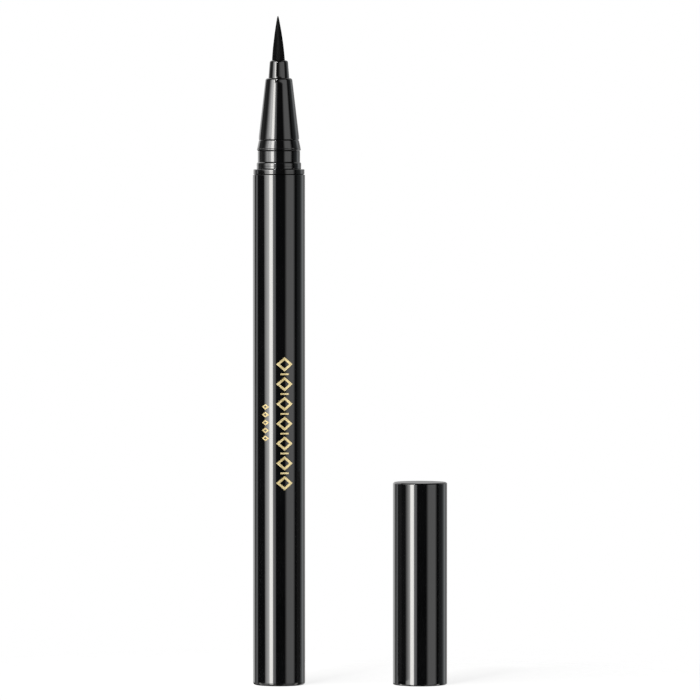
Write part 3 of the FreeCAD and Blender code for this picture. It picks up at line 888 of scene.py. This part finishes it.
def cardMaterial(name, card):
    material, tree, shader = startMaterial(name)
    tree.nodes.remove(shader)
    start = Vector((*card["start"], 0)) * mm
    along = Vector((*card["end"], 0)) * mm - start
    coords = tree.nodes.new("ShaderNodeTexCoord")
    dot = tree.nodes.new("ShaderNodeVectorMath")
    dot.operation = "DOT_PRODUCT"
    dot.inputs[1].default_value = along / along.length_squared
    tree.links.new(coords.outputs["Object"], dot.inputs[0])
    before = start.dot(along) / along.length_squared
    share = mathNode(tree, "SUBTRACT", dot.outputs["Value"], before)
    light = tree.nodes.new("ShaderNodeEmission")
    level = stopRamp(tree, share, card["stops"], 1, brightest)
    tree.links.new(level, light.inputs["Strength"])
    cover = stopRamp(tree, share, card["stops"], 2, 1.0)
    if "faces" in card:
        geometry = tree.nodes.new("ShaderNodeNewGeometry")
        front = mathNode(tree, "SUBTRACT", 1.0, geometry.outputs["Backfacing"])
        cover = mathNode(tree, "MULTIPLY", cover, front)
    clear = tree.nodes.new("ShaderNodeBsdfTransparent")
    mixed = mixNode(tree, cover, clear.outputs["BSDF"], light.outputs["Emission"])
    tree.links.new(mixed, tree.nodes["Material Output"].inputs["Surface"])
    return material


def cardPiece(name, card):
    bm = bmesh.new()
    foot = [bm.verts.new((*place, card["low"])) for place in (card["start"], card["end"])]
    grown = bmesh.ops.extrude_edge_only(bm, edges=[bm.edges.new(foot)])["geom"]
    top = [item for item in grown if isinstance(item, bmesh.types.BMVert)]
    bmesh.ops.translate(bm, verts=top, vec=(0, 0, card["high"] - card["low"]))
    bm.normal_update()
    if "faces" in card:
        wanted = Vector(card["faces"])
        turned = [face for face in bm.faces if face.normal.dot(wanted) < 0]
        bmesh.ops.reverse_faces(bm, faces=turned)
    piece = addObject(name, bm)
    piece.data.materials.append(cardMaterial(name, card))
    piece.visible_camera = False
    piece.visible_diffuse = False
    piece.visible_shadow = False


for cardName, cardSettings in cards.items():
    cardPiece(cardName, cardSettings)
print("cards set")


# Floor: a pale mat under the feet that keeps their shadow and fades into the white

floorMat = dict(radius=110.0, segments=96, drop=0.01, colour=(0.86, 0.86, 0.86), rough=0.9, gloss=0.0,
                fadeStart=0.03, fadeEnd=0.09, ownLight=0.72, glow=1.2)


def footDistance(tree):  # in metres, from the nearer of the two feet
    coords = tree.nodes.new("ShaderNodeTexCoord")
    away = []
    for footX in (0.0, capSpan["axisX"] * mm):
        distance = tree.nodes.new("ShaderNodeVectorMath")
        distance.operation = "DISTANCE"
        distance.inputs[1].default_value = (footX, 0, 0)
        tree.links.new(coords.outputs["Object"], distance.inputs[0])
        away.append(distance.outputs["Value"])
    return mathNode(tree, "MINIMUM", *away)


def floorMaterial():
    material, tree, shader = startMaterial("paleFloor")
    shader.inputs["Base Color"].default_value = (*floorMat["colour"], 1)
    shader.inputs["Roughness"].default_value = floorMat["rough"]
    shader.inputs["Specular IOR Level"].default_value = floorMat["gloss"]
    white = tree.nodes.new("ShaderNodeEmission")
    white.inputs["Strength"].default_value = floorMat["glow"]
    clear = tree.nodes.new("ShaderNodeBsdfTransparent")
    path = tree.nodes.new("ShaderNodeLightPath")
    geometry = tree.nodes.new("ShaderNodeNewGeometry")
    solid = rampNode(tree, footDistance(tree), floorMat["fadeStart"], floorMat["fadeEnd"], 1, 0)

    # Gloss looks past the mat into the studio, and from below the mat is clear
    unseen = mathNode(tree, "MAXIMUM", glossyShare(tree, path), geometry.outputs["Backfacing"])
    cover = mathNode(tree, "MULTIPLY", solid, mathNode(tree, "SUBTRACT", 1.0, unseen))
    shine = mathNode(tree, "MULTIPLY", path.outputs["Is Camera Ray"], floorMat["ownLight"])
    lit = mixNode(tree, shine, shader.outputs["BSDF"], white.outputs["Emission"])
    mixed = mixNode(tree, cover, clear.outputs["BSDF"], lit)
    tree.links.new(mixed, tree.nodes["Material Output"].inputs["Surface"])
    return material


def floorPiece():
    bm = bmesh.new()
    bmesh.ops.create_circle(bm, cap_ends=True, segments=floorMat["segments"], radius=floorMat["radius"])
    bmesh.ops.translate(bm, verts=bm.verts, vec=(capSpan["axisX"] / 2, 0, -floorMat["drop"]))
    floor = addObject("floor", bm)
    floor.data.materials.append(floorMaterial())


floorPiece()
print("floor laid")


# Camera: a long lens a little above the pen's middle, aimed at the middle of the picture

lens = dict(distance=1.2, height=0.102, aim=(0.01360, 0.0, 0.06412), widthAtAim=0.1339, sensor=36.0,
            clipEnd=10.0)


def pictureCamera():
    data = bpy.data.cameras.new("pictureCamera")
    data.sensor_width = lens["sensor"]
    data.lens = lens["sensor"] * lens["distance"] / lens["widthAtAim"]
    data.clip_end = lens["clipEnd"]
    holder = bpy.data.objects.new("pictureCamera", data)
    aim = Vector(lens["aim"])
    holder.location = Vector((aim.x, -lens["distance"], lens["height"]))
    holder.rotation_euler = (aim - holder.location).to_track_quat("-Z", "Y").to_euler()
    bpy.context.scene.collection.objects.link(holder)
    bpy.context.scene.camera = holder


pictureCamera()
bpy.context.scene.view_settings.view_transform = "Standard"
print("camera set")
